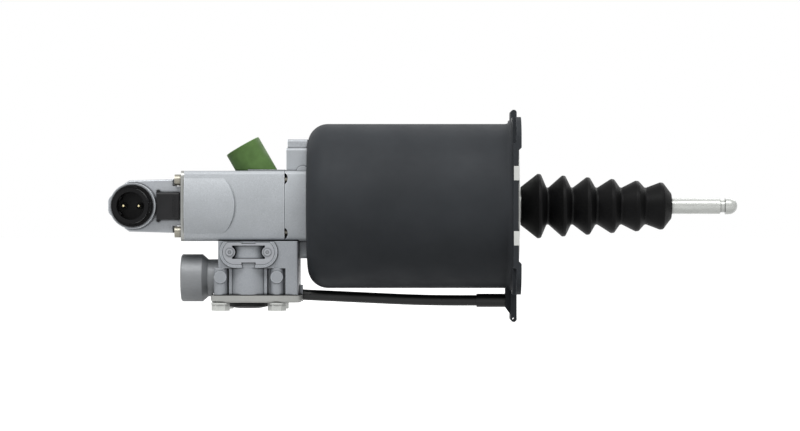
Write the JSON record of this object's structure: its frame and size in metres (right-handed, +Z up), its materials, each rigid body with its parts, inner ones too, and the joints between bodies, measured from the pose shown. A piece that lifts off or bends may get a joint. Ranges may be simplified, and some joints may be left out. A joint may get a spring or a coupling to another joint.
{
  "type": "clutch servo",
  "caption": "Air assisted hydraulic clutch servo: black steel cylinder with a square flange, push rod in a rubber boot, cast control valve, travel sensor and inlet port.",
  "frame": {"origin": "on the push rod's axis, in the plane of the flange's four raised pads", "axes": "+X along the push rod, out of the boot; +Z up, away from the control valve; -Y is the side with the connector's mouth"},
  "size_m": [0.3961, 0.11, 0.1336],
  "materials": {
    "housing_paint": "satin",
    "cover_zinc": "satin",
    "rod_steel": "satin",
    "boot_rubber": "matte",
    "seal_rubber": "matte",
    "cast_aluminium": "matte",
    "valve_aluminium": "satin",
    "machined_aluminium": "satin",
    "bearing_plastic": "matte",
    "polished_steel": "polished",
    "magnet": "satin",
    "spring_steel": "satin",
    "screw_steel": "satin",
    "bolt_steel": "satin",
    "plug_green": "matte",
    "cap_rubber": "matte",
    "plate_zinc": "satin",
    "sensor_cast": "satin",
    "connector_plastic": "satin",
    "clip_plastic": "matte",
    "pin_metal": "satin",
    "cover_steel": "satin",
    "port_steel": "satin",
    "valve_plastic": "satin",
    "breather_rubber": "matte",
    "pipe_plastic": "satin"
  },
  "bodies": {
    "servo": {"servo_housing": "housing_paint", "end_cover": "cover_zinc", "boot": "boot_rubber", "adapter_seal": "seal_rubber", "joint_seal": "seal_rubber", "plunger_seal": "seal_rubber", "base_gasket": "seal_rubber", "adapter_casting": "cast_aluminium", "hydraulic_body": "cast_aluminium", "valve_body": "valve_aluminium", "rod_guide_bush": "bearing_plastic", "plunger_bush": "bearing_plastic", "sensor_probe": "polished_steel", "preload_spring": "spring_steel", "control_spring": "spring_steel", "inlet_spring": "spring_steel", "body_screws": "screw_steel", "back_screws": "screw_steel", "valve_screws": "screw_steel", "bleed_screw": "screw_steel", "base_bolts": "bolt_steel", "base_washers": "bolt_steel", "transport_plug": "plug_green", "bleed_cap": "cap_rubber", "sensor_plate": "plate_zinc", "base_plate": "plate_zinc", "valve_retainer": "plate_zinc", "sensor_housing": "sensor_cast", "connector_socket": "connector_plastic", "connector_clip": "clip_plastic", "connector_pins": "pin_metal", "oval_cover": "cover_steel", "oval_cover_screws": "cover_steel", "inlet_port": "port_steel", "exhaust_breather": "breather_rubber", "breather_pipe": "pipe_plastic", "pipe_sleeve": "pipe_plastic"},
    "push_rod": {"push_rod": "rod_steel", "rod_nut": "rod_steel", "air_piston": "machined_aluminium", "piston_seal": "seal_rubber", "piston_guide_ring": "bearing_plastic", "hydraulic_plunger": "polished_steel", "travel_magnet": "magnet"},
    "control_piston": {"control_piston": "machined_aluminium", "control_piston_seals": "seal_rubber"},
    "inlet_valve": {"inlet_valve": "valve_plastic", "inlet_valve_pad": "seal_rubber"}
  },
  "joints": [
    {"name": "rod_slide", "type": "slide", "parent": "servo", "child": "push_rod", "axis": [1, 0, 0], "range_m": [-0.06, 0], "stiffness_N_per_m": 500, "springref_m": 0.06, "deforming": ["boot", "preload_spring"]},
    {"name": "control_slide", "type": "slide", "parent": "servo", "child": "control_piston", "axis": [0, 0, -1], "range_m": [0, 0.0025], "stiffness_N_per_m": 500, "springref_m": -0.004, "deforming": ["control_spring"]},
    {"name": "inlet_slide", "type": "slide", "parent": "servo", "child": "inlet_valve", "axis": [0, 0, -1], "range_m": [0, 0.0015], "stiffness_N_per_m": 500, "springref_m": -0.004, "deforming": ["inlet_spring"]}
  ],
  "couplings": [
    {"joint": "inlet_slide", "follows": "control_slide", "ratio": 0.6}
  ]
}
